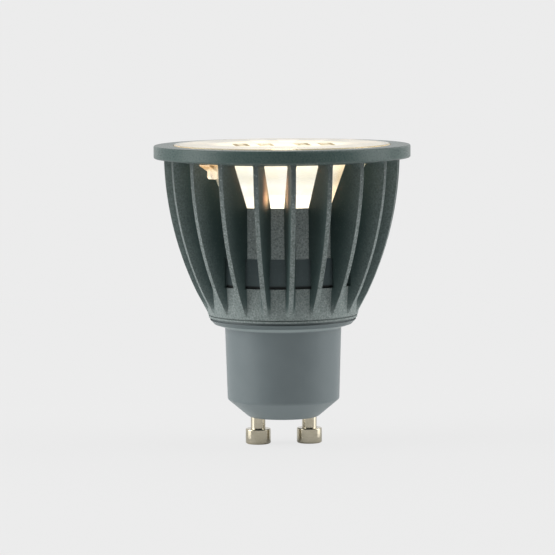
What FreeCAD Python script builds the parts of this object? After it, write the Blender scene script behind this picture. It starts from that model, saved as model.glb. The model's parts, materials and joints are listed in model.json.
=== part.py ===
"""Spotlight lamp with a two-pin twist-lock cap.

A die-cast finned body carries a clear lens at its wide end and a moulded cap
with two contact pins at its narrow end.  The light board sits in a cup at the
middle of the body, and the driver board stands inside the hollow cap.

Millimetres.  The axis of the lamp is Z, with the pin tips on the plane Z = 0
and the lens facing +Z.  The contact pins lie on the X axis.
"""
import FreeCAD
import Part
import math
import os

Vector = FreeCAD.Vector
AXIS = Vector(0, 0, 1)
ORIGIN = Vector(0, 0, 0)

# Contact pins
pin_pitch = 10.0
pin_head_dia = 4.88
pin_head_length = 2.95
pin_neck_dia = 2.86
pin_neck_length = 2.37
pin_shank_dia = 2.1
pin_shoulder_depth = 0.7
pin_rivet_dia = 3.0
pin_rivet_height = 0.4
pin_crimp_dia = 1.9
pin_crimp_length = 2.2
pin_edge_break = 0.35

# Moulded cap
cap_floor_rim = 0.32
cap_floor_thickness = 1.5
cap_wall = 1.25
cap_bevel_wall = 1.6
cap_floor_round = 1.0
cap_edge_round = 0.6
cap_barrel_round = 0.3
nose_length = 3.45
barrel_draft = 0.43
barrel_length = 14.0
flange_inner_run = 2.07
flange_inner_rise = 0.7
flange_outer_run = 0.8
flange_outer_rise = 0.85
flange_lip = 0.4
joint_gap = 0.45
seat_ring_step = 0.75
spigot_wall = 1.2
spigot_root_sink = 0.5
shelf_drop = 0.4
boss_dia = 4.0
boss_length = 6.2
boss_wall_gap = 0.2
boss_web = 1.6
rail_thickness = 1.0
rail_reach = 1.9
rail_overlap = 0.8

# Finned body
core_dia = 30.0
core_wall = 1.8
foot_inset = 0.6
foot_height = 1.65
foot_ring_height = 0.4
foot_groove_height = 0.2
foot_groove_depth = 0.2
foot_lip_inset = 0.45
slot_end_inset = 0.3
skirt_height = 4.95
ledge_step = 0.15
slot_height = 5.7
slot_width = 3.6
slot_depth = 0.35
slot_root_reach = 0.5
core_height = 9.6
cup_lip = 0.85
cup_depth = 3.4
platform_thickness = 2.2
throat_height = 8.95
throat_step = 0.9
rim_dia = 49.6
rim_height = 2.45
rim_under_drop = 0.6
rim_wall = 3.75
rim_edge_break = 0.3
rim_seat_width = 1.2

# Fins
fin_count = 20
fin_edge_thickness = 0.9
fin_root_thickness = 2.3
fin_root_sink = 0.7
fin_rim_inset = 2.0
fin_belly_bulge = 1.35
fin_belly_rise = 12.0
fin_knee_step = 1.6
fin_knee_rise = 3.35
fin_toe_sink = 0.1
fin_toe_drop = 0.9
fin_top_sink = 0.15
fin_flare_height = 1.0
fin_flare_width = 0.2
fin_seam_tolerance = 1e-6

# Lens
lens_plate_thickness = 1.7
lens_proud = 0.2
lens_edge_round = 0.25
lens_foot_ring = 2.5
lens_cavity_height = 2.15
lens_pocket_rim = 0.85
lens_pocket_taper = 0.6
lens_pocket_height = 3.6
lens_pocket_dome = 0.9
lens_pocket_dome_rim = 0.25
hook_count = 2
hook_first_angle = 45.0
hook_width = 2.5
hook_thickness = 1.55
hook_overhang = 2.2
hook_nose = 0.25
hook_slope_drop = 1.1
hook_length = 2.55
hook_corner_round = 0.5

# Light board
pad_thickness = 0.3
light_board_thickness = 1.2
board_screw_rim = 0.4
board_screw_dia = 2.0
board_screw_head_dia = 3.5
board_screw_head_height = 1.2
emitter_screw_gap = 1.7
emitter_thickness = 0.7
emitter_corner_cut = 1.2
phosphor_rim = 1.65
phosphor_height = 0.4

# Cap screws
cap_screw_dia = 2.2
cap_screw_head_dia = 4.0
cap_screw_head_height = 1.1
cap_screw_length = 7.0
screw_slot_width = 0.5
screw_slot_depth = 0.5
screw_head_round = 0.35

# Driver board and what stands on it
driver_board_thickness = 1.2
driver_board_side_gap = 0.8
driver_board_rise = 15.0
driver_tongue_side_gap = 1.2
driver_tongue_drop = 11.4
big_capacitor_rise = 1.2
big_capacitor_boss_gap = 0.5
small_capacitor_height = 6.8
can_edge_round = 0.5
can_wire_share = 0.4
core_block_height = 10.0
core_depth = 4.0
core_limb = 2.0
core_post = 3.2
core_rise = 1.0
winding_round = 1.1
choke_flange = 1.1
choke_flange_step = 0.55
choke_rise = 0.1
film_depth = 3.2
film_height = 5.6
film_edge_round = 0.4
film_rise = 1.4
fuse_length = 6.4
fuse_rise = 3.0
chip_width = 4.9
chip_height = 3.9
chip_thickness = 1.4
chip_drop = 2.4
rectifier_width = 4.7
rectifier_height = 3.9
rectifier_thickness = 1.6
rectifier_rise = 3.1
package_chamfer = 0.25
leg_thickness = 0.2
leg_width = 0.4
leg_reach = 0.7

# Widths and places on the driver board, as shares of its width
big_capacitor_share = 0.36
big_capacitor_place = -0.2
small_capacitor_share = 0.23
small_capacitor_place = 0.25
choke_share = 0.3
choke_place = 0.25
core_share = 0.59
winding_share = 0.39

# Widths and places on the board's tongue, as shares of the tongue's width
film_share = 0.38
film_place = 0.11
fuse_share = 0.18
fuse_place = -0.24
mains_lead_place = 0.39

# Leads
lead_dia = 1.0
component_wire_dia = 0.5
component_wire_drop = 1.1
bend_share = 0.45
light_lead_spacing = 5.0
light_lead_emitter_gap = 1.2
light_lead_proud = 0.6
light_lead_drop = 1.8
light_lead_reach = 2.6
light_lead_rise_gap = 2.0
mains_lead_reach = 2.4
mains_lead_rise = 3.2
mains_lead_stub = 1.9

# Fits and clearances
press_gap = 0.05
slide_gap = 0.2
lens_gap = 0.15
cone_gap = 0.25
board_gap = 0.15

# Heights from the pin tips upward
cap_floor_z = pin_head_length + pin_neck_length
cap_inside_z = cap_floor_z + cap_floor_thickness
nose_top_z = cap_floor_z + nose_length
barrel_top_z = nose_top_z + barrel_length
knuckle_z = barrel_top_z + flange_inner_rise
flange_top_z = knuckle_z + flange_outer_rise
foot_z = flange_top_z + joint_gap
foot_groove_z = foot_z + foot_ring_height
foot_side_z = foot_groove_z + foot_groove_height
slot_end_z = foot_z + foot_height
ledge_z = slot_end_z + skirt_height
slot_top_z = ledge_z + slot_height
cup_top_z = slot_top_z + core_height
rim_bottom_z = cup_top_z + throat_height
rim_top_z = rim_bottom_z + rim_height
rim_under_z = rim_bottom_z - rim_under_drop
platform_top_z = cup_top_z - cup_depth
platform_bottom_z = platform_top_z - platform_thickness
spigot_top_z = platform_bottom_z - board_gap
shelf_z = flange_top_z - shelf_drop
tongue_z = shelf_z - driver_tongue_drop
fin_knee_z = slot_end_z + fin_knee_rise
fin_belly_z = fin_knee_z + fin_belly_rise
lens_top_z = rim_top_z + lens_proud
lens_seat_z = lens_top_z - lens_plate_thickness
light_board_z = platform_top_z + pad_thickness
light_board_top_z = light_board_z + light_board_thickness
lens_foot_z = light_board_top_z + board_gap
lens_cavity_z = lens_foot_z + lens_cavity_height

# Widths of the body, from its core and its rim
body_bore_r = core_dia / 2 - core_wall
foot_dia = core_dia - 2 * foot_inset
foot_groove_dia = foot_dia - 2 * foot_groove_depth
foot_lip_dia = core_dia - 2 * foot_lip_inset
slot_end_dia = core_dia - 2 * slot_end_inset
ledge_dia = core_dia + 2 * ledge_step
cup_mouth_r = core_dia / 2 - cup_lip
lens_pocket_r = rim_dia / 2 - rim_wall
seat_bore_r = lens_pocket_r - rim_seat_width
throat_dia = 2 * (seat_bore_r - throat_step)

# Widths of the fins
fin_top_radius = rim_dia / 2 - fin_rim_inset
fin_knee_radius = ledge_dia / 2 + fin_knee_step
fin_flare_z = rim_bottom_z - fin_flare_height
fin_belly_share = fin_belly_rise / (fin_flare_z - fin_knee_z)
fin_spread = fin_top_radius - fin_knee_radius
fin_belly_radius = fin_knee_radius + fin_spread * fin_belly_share + fin_belly_bulge

# Widths of the cap, from the body's bore and the pins
spigot_dia = 2 * (body_bore_r - slide_gap)
spigot_bore_r = spigot_dia / 2 - spigot_wall
seat_ring_dia = spigot_dia + 2 * seat_ring_step
flange_dia = seat_ring_dia + 2 * flange_lip
flange_knuckle_dia = flange_dia - 2 * flange_outer_run
barrel_high_dia = flange_knuckle_dia - 2 * flange_inner_run
barrel_low_dia = barrel_high_dia - 2 * barrel_draft
barrel_bore_r = barrel_high_dia / 2 - cap_wall
nose_bore_r = barrel_low_dia / 2 - cap_wall
cap_floor_dia = pin_pitch + pin_neck_dia + 2 * cap_floor_rim
boss_offset = spigot_bore_r - boss_wall_gap - boss_dia / 2

# Widths of the lens plate and the driver board
lens_plate_dia = 2 * (lens_pocket_r - lens_gap)
hook_root_r = lens_plate_dia / 2 - cone_gap
driver_board_width = 2 * (spigot_bore_r - driver_board_side_gap)
driver_tongue_width = 2 * (nose_bore_r - driver_tongue_side_gap)

# Widths and places of what the driver board carries
big_capacitor_dia = driver_board_width * big_capacitor_share
big_capacitor_x = driver_board_width * big_capacitor_place
big_capacitor_z = shelf_z + big_capacitor_rise
big_capacitor_height = spigot_top_z - boss_length - big_capacitor_boss_gap - big_capacitor_z
small_capacitor_dia = driver_board_width * small_capacitor_share
small_capacitor_x = driver_board_width * small_capacitor_place
choke_dia = driver_board_width * choke_share
choke_height = choke_dia
choke_waist_dia = choke_dia - 2 * choke_flange_step
choke_x = driver_board_width * choke_place
core_width = driver_board_width * core_share
winding_depth = driver_board_width * winding_share
film_width = driver_tongue_width * film_share
film_x = driver_tongue_width * film_place
fuse_dia = driver_tongue_width * fuse_share
fuse_x = driver_tongue_width * fuse_place
mains_lead_x = driver_tongue_width * mains_lead_place


def lens_cone_radius(z):
    """Radius of the lens side at height z, straight from the cup to the seat."""
    low = cup_mouth_r - cone_gap
    high = seat_bore_r - cone_gap
    return low + (high - low) * (z - cup_top_z) / (lens_seat_z - cup_top_z)


def rim_underside(radius):
    """Height of the rim's sloping underside at a radius."""
    slope = rim_under_drop / (rim_dia / 2 - seat_bore_r)
    return rim_bottom_z - slope * (rim_dia / 2 - radius)


def nose_radius(z):
    """Outer radius of the cap's bevelled end at height z."""
    rise = (z - cap_floor_z) / nose_length
    return (cap_floor_dia + (barrel_low_dia - cap_floor_dia) * rise) / 2


# Widths in the cup, from the slope of the lens
cup_floor_r = lens_cone_radius(platform_top_z) + cone_gap
light_board_r = cup_floor_r - slide_gap
lens_foot_r = lens_cone_radius(lens_foot_z)
lens_cavity_r = lens_foot_r - lens_foot_ring
board_screw_offset = lens_cavity_r - board_screw_rim - board_screw_head_dia / 2
emitter_size = 2 * (board_screw_offset - board_screw_head_dia / 2 - emitter_screw_gap)
light_lead_offset = emitter_size / 2 + light_lead_emitter_gap + lead_dia / 2
phosphor_dia = emitter_size - 2 * phosphor_rim
lens_pocket_dia = emitter_size + 2 * lens_pocket_rim
lens_pocket_top_dia = lens_pocket_dia - 2 * lens_pocket_taper


def rounded_outline(corners):
    """Closed wire in the XZ plane through (x, z) corners, or (x, z, round) where one is rounded."""
    count = len(corners)
    points = [Vector(c[0], 0, c[1]) for c in corners]
    stops = []
    for i in range(count):
        radius = corners[i][2] if len(corners[i]) > 2 else 0
        if not radius:
            stops.append((points[i], None, points[i]))
            continue
        back = (points[i - 1] - points[i]).normalize()
        ahead = (points[(i + 1) % count] - points[i]).normalize()
        half = back.getAngle(ahead) / 2
        reach = radius / math.tan(half)
        middle = (back + ahead).normalize()
        top = points[i] + middle * (radius / math.sin(half) - radius)
        stops.append((points[i] + back * reach, top, points[i] + ahead * reach))
    edges = []
    for i in range(count):
        start, top, end = stops[i]
        if top:
            edges.append(Part.Arc(start, top, end).toShape())
        following = stops[(i + 1) % count][0]
        edges.append(Part.LineSegment(end, following).toShape())
    return Part.Wire(edges)


def turned(corners):
    """Solid turned about the lamp's axis from (radius, z) corners."""
    return Part.Face(rounded_outline(corners)).revolve(ORIGIN, AXIS, 360)


def dome(radius, base_z, edge_z, crown_z):
    """Turned cap with a shallow round crown over, or under, a flat base."""
    height = crown_z - edge_z
    sphere_r = (radius ** 2 + height ** 2) / (2 * abs(height))
    half = math.asin(radius / sphere_r) / 2
    fall = math.copysign(sphere_r * (1 - math.cos(half)), height)
    middle = Vector(sphere_r * math.sin(half), 0, crown_z - fall)
    edges = [Part.Arc(Vector(0, 0, crown_z), middle, Vector(radius, 0, edge_z)).toShape()]
    stops = [Vector(radius, 0, edge_z), Vector(radius, 0, base_z), Vector(0, 0, base_z)]
    stops.append(Vector(0, 0, crown_z))
    for start, end in zip(stops, stops[1:]):
        if start.distanceToPoint(end) > 0:
            edges.append(Part.LineSegment(start, end).toShape())
    return Part.Face(Part.Wire(edges)).revolve(ORIGIN, AXIS, 360)


def slab(corners, width):
    """XZ outline extruded to a width centred on the plane Y = 0."""
    face = Part.Face(rounded_outline(corners))
    face.translate(Vector(0, -width / 2, 0))
    return face.extrude(Vector(0, width, 0))


def rod(diameter, x, y, low, high):
    """Round bar along Z between two heights."""
    return Part.makeCylinder(diameter / 2, high - low, Vector(x, y, low), AXIS)


def block(x0, x1, y0, y1, z0, z1):
    """Rectangular block between two corners."""
    return Part.makeBox(x1 - x0, y1 - y0, z1 - z0, Vector(x0, y0, z0))


def around(shape, angle):
    """Copy of a shape turned about the lamp's axis, in degrees."""
    copy = shape.copy()
    copy.rotate(ORIGIN, AXIS, angle)
    return copy


def mirrored_pair(shape):
    """The shape and its mirror image across the plane X = 0."""
    return [shape, shape.mirror(ORIGIN, Vector(1, 0, 0))]


def wire_run(points, diameter):
    """Round wire through the points, each bend as wide as its two runs allow."""
    edges = []
    start = points[0]
    for before, corner, after in zip(points, points[1:], points[2:]):
        back = (before - corner).normalize()
        ahead = (after - corner).normalize()
        shorter = min(before.distanceToPoint(corner), after.distanceToPoint(corner))
        reach = bend_share * shorter
        half = back.getAngle(ahead) / 2
        radius = reach * math.tan(half)
        top = corner + (back + ahead).normalize() * (radius / math.sin(half) - radius)
        edges.append(Part.LineSegment(start, corner + back * reach).toShape())
        edges.append(Part.Arc(corner + back * reach, top, corner + ahead * reach).toShape())
        start = corner + ahead * reach
    edges.append(Part.LineSegment(start, points[-1]).toShape())
    circle = Part.Circle(points[0], points[1] - points[0], diameter / 2)
    return Part.Wire(edges).makePipeShell([Part.Wire(circle.toShape())], True, False)


def fin_side(half_edge, half_root, side):
    """Edge pairs of one side of a fin: toe, curved belly and flare, outer edge with root."""
    toe_z = slot_end_z - fin_toe_drop
    toe_rise = (toe_z - foot_side_z) / (slot_end_z - foot_side_z)
    toe_r = (foot_lip_dia + (slot_end_dia - foot_lip_dia) * toe_rise) / 2 - fin_toe_sink
    root_r = core_dia / 2 - fin_root_sink
    y_edge = side * half_edge
    y_root = side * half_root
    flared = side * fin_flare_width
    toe = Vector(toe_r, y_edge, toe_z)
    knee = Vector(fin_knee_radius, y_edge, fin_knee_z)
    belly = Vector(fin_belly_radius, y_edge, fin_belly_z)
    neck = Vector(fin_top_radius, y_edge, fin_flare_z)
    top = Vector(fin_top_radius, y_edge + flared, rim_bottom_z + fin_top_sink)
    roots = [Vector(root_r, y_root, p.z) for p in (toe, knee, neck)]
    roots.append(Vector(root_r, y_root + flared, top.z))
    outer = [Part.LineSegment(toe, knee), Part.Arc(knee, belly, neck), Part.LineSegment(neck, top)]
    inner = [Part.LineSegment(a, b) for a, b in zip(roots, roots[1:])]
    return [(a.toShape(), b.toShape()) for a, b in zip(outer, inner)]


def fin_blank():
    """One fin along +X, thin at its curved outer edge and thick at its straight root."""
    left = fin_side(fin_edge_thickness / 2, fin_root_thickness / 2, 1)
    right = fin_side(fin_edge_thickness / 2, fin_root_thickness / 2, -1)
    faces = []
    for (left_edge, left_root), (right_edge, right_root) in zip(left, right):
        faces.append(Part.makeRuledSurface(left_edge, left_root))
        faces.append(Part.makeRuledSurface(right_edge, right_root))
        faces.append(Part.makeRuledSurface(left_edge, right_edge))
        faces.append(Part.makeRuledSurface(left_root, right_root))
    for stretch, end in ((0, 0), (-1, 1)):
        a, b = left[stretch]
        d, c = right[stretch]
        ends = [edge.Vertexes[end].Point for edge in (a, b, c, d)]
        faces.append(Part.Face(Part.makePolygon(ends + ends[:1])))
    shell = Part.Compound(faces)
    shell.sewShape()
    solid = Part.Solid(Part.Shell(shell.Faces))
    solid.fix(fin_seam_tolerance, fin_seam_tolerance, fin_seam_tolerance)
    return solid


def lens_space():
    """Room inside the fins for the lens, widening from the cup to the rim seat."""
    above = rim_top_z + rim_height
    return turned([
        (0, cup_top_z), (core_dia / 2, cup_top_z), (throat_dia / 2, rim_under_z),
        (seat_bore_r, rim_under_z), (seat_bore_r, above), (0, above)])


def body_core():
    """Foot, skirt, core wall, light-board platform and cup, as one turned shape."""
    return turned([
        (body_bore_r, foot_z), (foot_dia / 2, foot_z), (foot_dia / 2, foot_groove_z),
        (foot_groove_dia / 2, foot_groove_z), (foot_groove_dia / 2, foot_side_z),
        (foot_lip_dia / 2, foot_side_z), (slot_end_dia / 2, slot_end_z),
        (ledge_dia / 2, ledge_z), (core_dia / 2, ledge_z),
        (core_dia / 2, cup_top_z), (cup_mouth_r, cup_top_z), (cup_floor_r, platform_top_z),
        (0, platform_top_z), (0, platform_bottom_z), (body_bore_r, platform_bottom_z)])


def body_rim():
    """Outer ring with a sloping underside, and the pocket that the lens plate sits in."""
    return turned([
        (seat_bore_r, rim_under_z), (rim_dia / 2, rim_bottom_z, rim_edge_break),
        (rim_dia / 2, rim_top_z, rim_edge_break), (lens_pocket_r, rim_top_z),
        (lens_pocket_r, lens_seat_z), (seat_bore_r, lens_seat_z)])


def wall_slots():
    """Shallow flat-bottomed slots in the core wall between the fins."""
    outer = core_dia / 2 + slot_root_reach
    inner = core_dia / 2 - slot_depth
    slot = block(inner, outer, -slot_width / 2, slot_width / 2, ledge_z, slot_top_z)
    pitch = 360.0 / fin_count
    return [around(slot, pitch * (i + 0.5)) for i in range(fin_count)]


def hook_notches():
    """Gaps in the lens ledge that the two hooks pass through."""
    width = hook_width + 2 * slide_gap
    notch = block(
        seat_bore_r - cone_gap, hook_root_r + lens_gap, -width / 2, width / 2,
        rim_under_z, lens_seat_z)
    return [around(notch, angle) for angle in hook_angles()]


def hook_angles():
    """Directions of the lens hooks about the axis."""
    return [hook_first_angle + i * 360.0 / hook_count for i in range(hook_count)]


def platform_holes():
    """Cap screw counterbores, light-board screw holes and lead holes in the platform."""
    holes = []
    sink_z = platform_top_z - cap_screw_head_height - slide_gap
    for y in (-boss_offset, boss_offset):
        holes.append(rod(cap_screw_dia + slide_gap, 0, y, platform_bottom_z, platform_top_z))
        holes.append(rod(cap_screw_head_dia + slide_gap, 0, y, sink_z, platform_top_z))
    for x in (-board_screw_offset, board_screw_offset):
        width = board_screw_dia + 2 * press_gap
        holes.append(rod(width, x, 0, platform_bottom_z, platform_top_z))
    return holes + lead_holes(platform_bottom_z, platform_top_z)


def lead_holes(low, high):
    """Holes for the two leads of the light board."""
    width = lead_dia + 2 * slide_gap
    places = (-light_lead_spacing / 2, light_lead_spacing / 2)
    return [rod(width, x, light_lead_offset, low, high) for x in places]


def heatsink():
    """Die-cast body: rim, fins, slotted core wall, cup and foot in one piece."""
    fin = fin_blank().cut(lens_space())
    fins = [around(fin, i * 360.0 / fin_count) for i in range(fin_count)]
    body = body_core().fuse(fins + [body_rim()])
    body = body.cut(wall_slots() + hook_notches() + platform_holes())
    return body.removeSplitter()


def lens_hook():
    """Snap hook along +X that hangs from the lens plate and catches under the rim."""
    inner = hook_root_r - hook_thickness
    tip = hook_root_r + hook_overhang
    catch_z = rim_underside(hook_root_r) - board_gap
    tip_z = rim_underside(tip) - board_gap
    nose_z = tip_z - hook_nose
    end_z = catch_z - hook_length
    root_z = lens_seat_z + lens_plate_thickness / 2
    profile = slab([
        (inner, root_z), (hook_root_r, root_z), (hook_root_r, catch_z), (tip, tip_z),
        (tip, nose_z), (hook_root_r, nose_z - hook_slope_drop),
        (hook_root_r, end_z), (inner, end_z)], hook_width)
    front = slab([
        (-hook_width / 2, end_z, hook_corner_round), (hook_width / 2, end_z, hook_corner_round),
        (hook_width / 2, root_z), (-hook_width / 2, root_z)], 2 * tip)
    front.rotate(ORIGIN, AXIS, 90)
    return profile.common(front)


def lens():
    """Clear moulded lens: flat plate, conical side, hollow foot over the emitter, hooks."""
    shoulder_r = lens_cone_radius(lens_seat_z)
    pocket_z = lens_cavity_z + lens_pocket_height
    solid = turned([
        (0, lens_top_z), (lens_plate_dia / 2, lens_top_z, lens_edge_round),
        (lens_plate_dia / 2, lens_seat_z), (shoulder_r, lens_seat_z), (lens_foot_r, lens_foot_z),
        (lens_cavity_r, lens_foot_z), (lens_cavity_r, lens_cavity_z),
        (lens_pocket_dia / 2, lens_cavity_z), (lens_pocket_top_dia / 2, pocket_z),
        (0, pocket_z)])
    # The pocket's ceiling bulges down towards the emitter.
    bulge_r = lens_pocket_top_dia / 2 - lens_pocket_dome_rim
    bulge = dome(bulge_r, pocket_z, pocket_z, pocket_z - lens_pocket_dome)
    hooks = [around(lens_hook(), angle) for angle in hook_angles()]
    return solid.fuse([bulge] + hooks).removeSplitter()


def thermal_pad():
    """Soft disc between the platform and the light board."""
    pad = rod(2 * light_board_r, 0, 0, platform_top_z, light_board_z)
    holes = lead_holes(platform_top_z, light_board_z)
    for x in (-board_screw_offset, board_screw_offset):
        holes.append(rod(board_screw_dia + 2 * slide_gap, x, 0, platform_top_z, light_board_z))
    return pad.cut(holes)


def light_board():
    """Metal-core disc that carries the emitter."""
    board = rod(2 * light_board_r, 0, 0, light_board_z, light_board_top_z)
    holes = lead_holes(light_board_z, light_board_top_z)
    for x in (-board_screw_offset, board_screw_offset):
        width = board_screw_dia + 2 * slide_gap
        holes.append(rod(width, x, 0, light_board_z, light_board_top_z))
    return board.cut(holes)


def emitter_base():
    """Square emitter carrier with one marked corner."""
    half = emitter_size / 2
    top_z = light_board_top_z + emitter_thickness
    corners = [
        (half, -half), (half, half), (-half, half), (-half, emitter_corner_cut - half),
        (emitter_corner_cut - half, -half), (half, -half)]
    face = Part.Face(Part.makePolygon([Vector(x, y, light_board_top_z) for x, y in corners]))
    return face.extrude(Vector(0, 0, top_z - light_board_top_z))


def phosphor():
    """Low round dome of phosphor on the emitter."""
    base_z = light_board_top_z + emitter_thickness
    crown_z = base_z + phosphor_height
    return dome(phosphor_dia / 2, base_z, base_z + phosphor_height / 2, crown_z)


def pan_screw(x, y, seat_z, head_dia, head_height, shank_dia, length):
    """Slotted screw pointing down, its head resting on seat_z."""
    top_z = seat_z + head_height
    screw = turned([
        (0, top_z), (head_dia / 2, top_z, screw_head_round), (head_dia / 2, seat_z),
        (shank_dia / 2, seat_z), (shank_dia / 2, seat_z - length), (0, seat_z - length)])
    slot = block(
        -head_dia, head_dia, -screw_slot_width / 2, screw_slot_width / 2,
        top_z - screw_slot_depth, top_z + head_height)
    screw = screw.cut(slot)
    screw.translate(Vector(x, y, 0))
    return screw


def board_screws():
    """Two screws that clamp the light board to the platform."""
    length = light_board_top_z - platform_bottom_z
    return [
        pan_screw(
            x, 0, light_board_top_z, board_screw_head_dia, board_screw_head_height,
            board_screw_dia, length)
        for x in (-board_screw_offset, board_screw_offset)]


def cap_screws():
    """Two screws that draw the cap up against the body, sunk in the platform."""
    seat_z = platform_top_z - cap_screw_head_height - slide_gap
    return [
        pan_screw(
            0, y, seat_z, cap_screw_head_dia, cap_screw_head_height,
            cap_screw_dia, cap_screw_length)
        for y in (-boss_offset, boss_offset)]


def cap_shell():
    """Outside and inside of the cap, turned: floor, bevel, barrel, flange and spigot."""
    inside_floor_r = nose_radius(cap_inside_z) - cap_bevel_wall
    return turned([
        (0, cap_floor_z), (cap_floor_dia / 2, cap_floor_z, cap_floor_round),
        (barrel_low_dia / 2, nose_top_z, cap_edge_round),
        (barrel_high_dia / 2, barrel_top_z, cap_barrel_round),
        (flange_knuckle_dia / 2, knuckle_z), (flange_dia / 2, flange_top_z),
        (seat_ring_dia / 2, flange_top_z), (seat_ring_dia / 2, foot_z),
        (spigot_dia / 2, foot_z), (spigot_dia / 2, spigot_top_z),
        (spigot_bore_r, spigot_top_z), (spigot_bore_r, shelf_z), (barrel_bore_r, shelf_z),
        (nose_bore_r, nose_top_z + cap_edge_round), (inside_floor_r, cap_inside_z),
        (0, cap_inside_z)])


def cap_boss(side):
    """Screw boss inside the spigot with the web that ties it to the wall."""
    y = side * boss_offset
    low = spigot_top_z - boss_length
    wall_y = side * (spigot_bore_r + spigot_root_sink)
    web = block(-boss_web / 2, boss_web / 2, min(y, wall_y), max(y, wall_y), low, spigot_top_z)
    return [rod(boss_dia, 0, y, low, spigot_top_z), web]


def board_rails():
    """Two grooves in the spigot wall that hold the driver board's edges."""
    near_y = driver_board_thickness / 2 + board_gap
    inner = driver_board_width / 2 - rail_overlap
    rails = []
    for side in (-1, 1):
        low_y = near_y if side > 0 else -near_y - rail_thickness
        rail = block(
            inner, inner + rail_reach, low_y, low_y + rail_thickness,
            shelf_z, shelf_z + driver_board_rise)
        rails += mirrored_pair(rail)
    return rails


def base_cap():
    """Moulded cap: pin end, barrel, flange and the hollow spigot inside the body."""
    bosses = cap_boss(-1) + cap_boss(1)
    cap = cap_shell().fuse(bosses + board_rails())
    holes = []
    for y in (-boss_offset, boss_offset):
        low = spigot_top_z - boss_length
        holes.append(rod(cap_screw_dia + 2 * press_gap, 0, y, low, spigot_top_z))
    for x in (-pin_pitch / 2, pin_pitch / 2):
        holes.append(rod(pin_shank_dia + 2 * press_gap, x, 0, cap_floor_z, cap_inside_z))
        shoulder_z = cap_floor_z + pin_shoulder_depth
        holes.append(rod(pin_neck_dia + 2 * press_gap, x, 0, cap_floor_z, shoulder_z))
    return cap.cut(holes).removeSplitter()


def contact_pin(x):
    """Headed contact pin with a riveted shank and a crimp for its lead."""
    shoulder_z = cap_floor_z + pin_shoulder_depth
    rivet_z = cap_inside_z + pin_rivet_height
    crimp_z = rivet_z + pin_crimp_length
    pin = turned([
        (0, 0), (pin_head_dia / 2, 0, pin_edge_break),
        (pin_head_dia / 2, pin_head_length, pin_edge_break / 2),
        (pin_neck_dia / 2, pin_head_length), (pin_neck_dia / 2, shoulder_z),
        (pin_shank_dia / 2, shoulder_z), (pin_shank_dia / 2, cap_inside_z),
        (pin_rivet_dia / 2, cap_inside_z), (pin_rivet_dia / 2, rivet_z, pin_edge_break / 2),
        (pin_crimp_dia / 2, rivet_z), (pin_crimp_dia / 2, crimp_z),
        (lead_dia / 2, crimp_z), (lead_dia / 2, rivet_z), (0, rivet_z)])
    pin.translate(Vector(x, 0, 0))
    return pin


def driver_board():
    """Upright circuit board: wide part in the spigot, tongue down into the barrel."""
    wide = driver_board_width / 2
    narrow = driver_tongue_width / 2
    top_z = shelf_z + driver_board_rise
    return slab([
        (-narrow, tongue_z), (narrow, tongue_z), (narrow, shelf_z), (wide, shelf_z),
        (wide, top_z), (-wide, top_z), (-wide, shelf_z), (-narrow, shelf_z)],
        driver_board_thickness)


def can_capacitor(diameter, height, x, low_z):
    """Round can lying against the front of the driver board, with two bent wires."""
    face_y = -driver_board_thickness / 2
    y = face_y - board_gap - diameter / 2
    high_z = low_z + height
    can = turned([
        (0, low_z), (diameter / 2, low_z, can_edge_round),
        (diameter / 2, high_z, can_edge_round), (0, high_z)])
    can.translate(Vector(x, y, 0))
    wire_z = low_z - component_wire_drop
    wires = []
    spread = can_wire_share * diameter / 2
    for wire_x in (x - spread, x + spread):
        route = [Vector(wire_x, y, low_z), Vector(wire_x, y, wire_z), Vector(wire_x, face_y, wire_z)]
        wires.append(wire_run(route, component_wire_dia))
    return can.fuse(wires)


def smoothing_capacitor():
    """Big mains capacitor on the wide part of the board."""
    return can_capacitor(
        big_capacitor_dia, big_capacitor_height, big_capacitor_x, big_capacitor_z)


def output_capacitor():
    """Small capacitor in the board's upper corner, above the choke."""
    low_z = shelf_z + driver_board_rise - small_capacitor_height
    return can_capacitor(small_capacitor_dia, small_capacitor_height, small_capacitor_x, low_z)


def transformer_core():
    """Ferrite frame with a middle post."""
    y0 = driver_board_thickness / 2 + (winding_depth - core_depth) / 2
    low_z = shelf_z + core_rise
    high_z = low_z + core_block_height
    frame = block(-core_width / 2, core_width / 2, y0, y0 + core_depth, low_z, high_z)
    windows = mirrored_pair(block(
        core_post / 2, core_width / 2 - core_limb, y0, y0 + core_depth,
        low_z + core_limb, high_z - core_limb))
    return frame.cut(windows)


def transformer_winding():
    """Bobbin and winding around the core's middle post, standing on the board."""
    face_y = driver_board_thickness / 2
    low_z = shelf_z + core_rise + core_limb + board_gap
    high_z = shelf_z + core_rise + core_block_height - core_limb - board_gap
    half = core_width / 2 - core_limb - board_gap
    coil = block(-half, half, face_y, face_y + winding_depth, low_z, high_z)
    uprights = [e for e in coil.Edges if e.BoundBox.ZLength > high_z - low_z - board_gap]
    coil = coil.makeFillet(winding_round, uprights)
    post = core_post / 2 + board_gap
    y0 = face_y + (winding_depth - core_depth) / 2 - board_gap
    return coil.cut(block(-post, post, y0, y0 + core_depth + 2 * board_gap, low_z, high_z))


def filter_choke():
    """Drum choke standing off the front of the board."""
    face_y = -driver_board_thickness / 2
    upper = choke_height - choke_flange
    drum = turned([
        (0, 0), (choke_dia / 2, 0), (choke_dia / 2, choke_flange),
        (choke_waist_dia / 2, choke_flange), (choke_waist_dia / 2, upper),
        (choke_dia / 2, upper), (choke_dia / 2, choke_height), (0, choke_height)])
    drum.rotate(ORIGIN, Vector(1, 0, 0), 90)
    drum.translate(Vector(choke_x, face_y, shelf_z + choke_rise + choke_dia / 2))
    return drum


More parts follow.
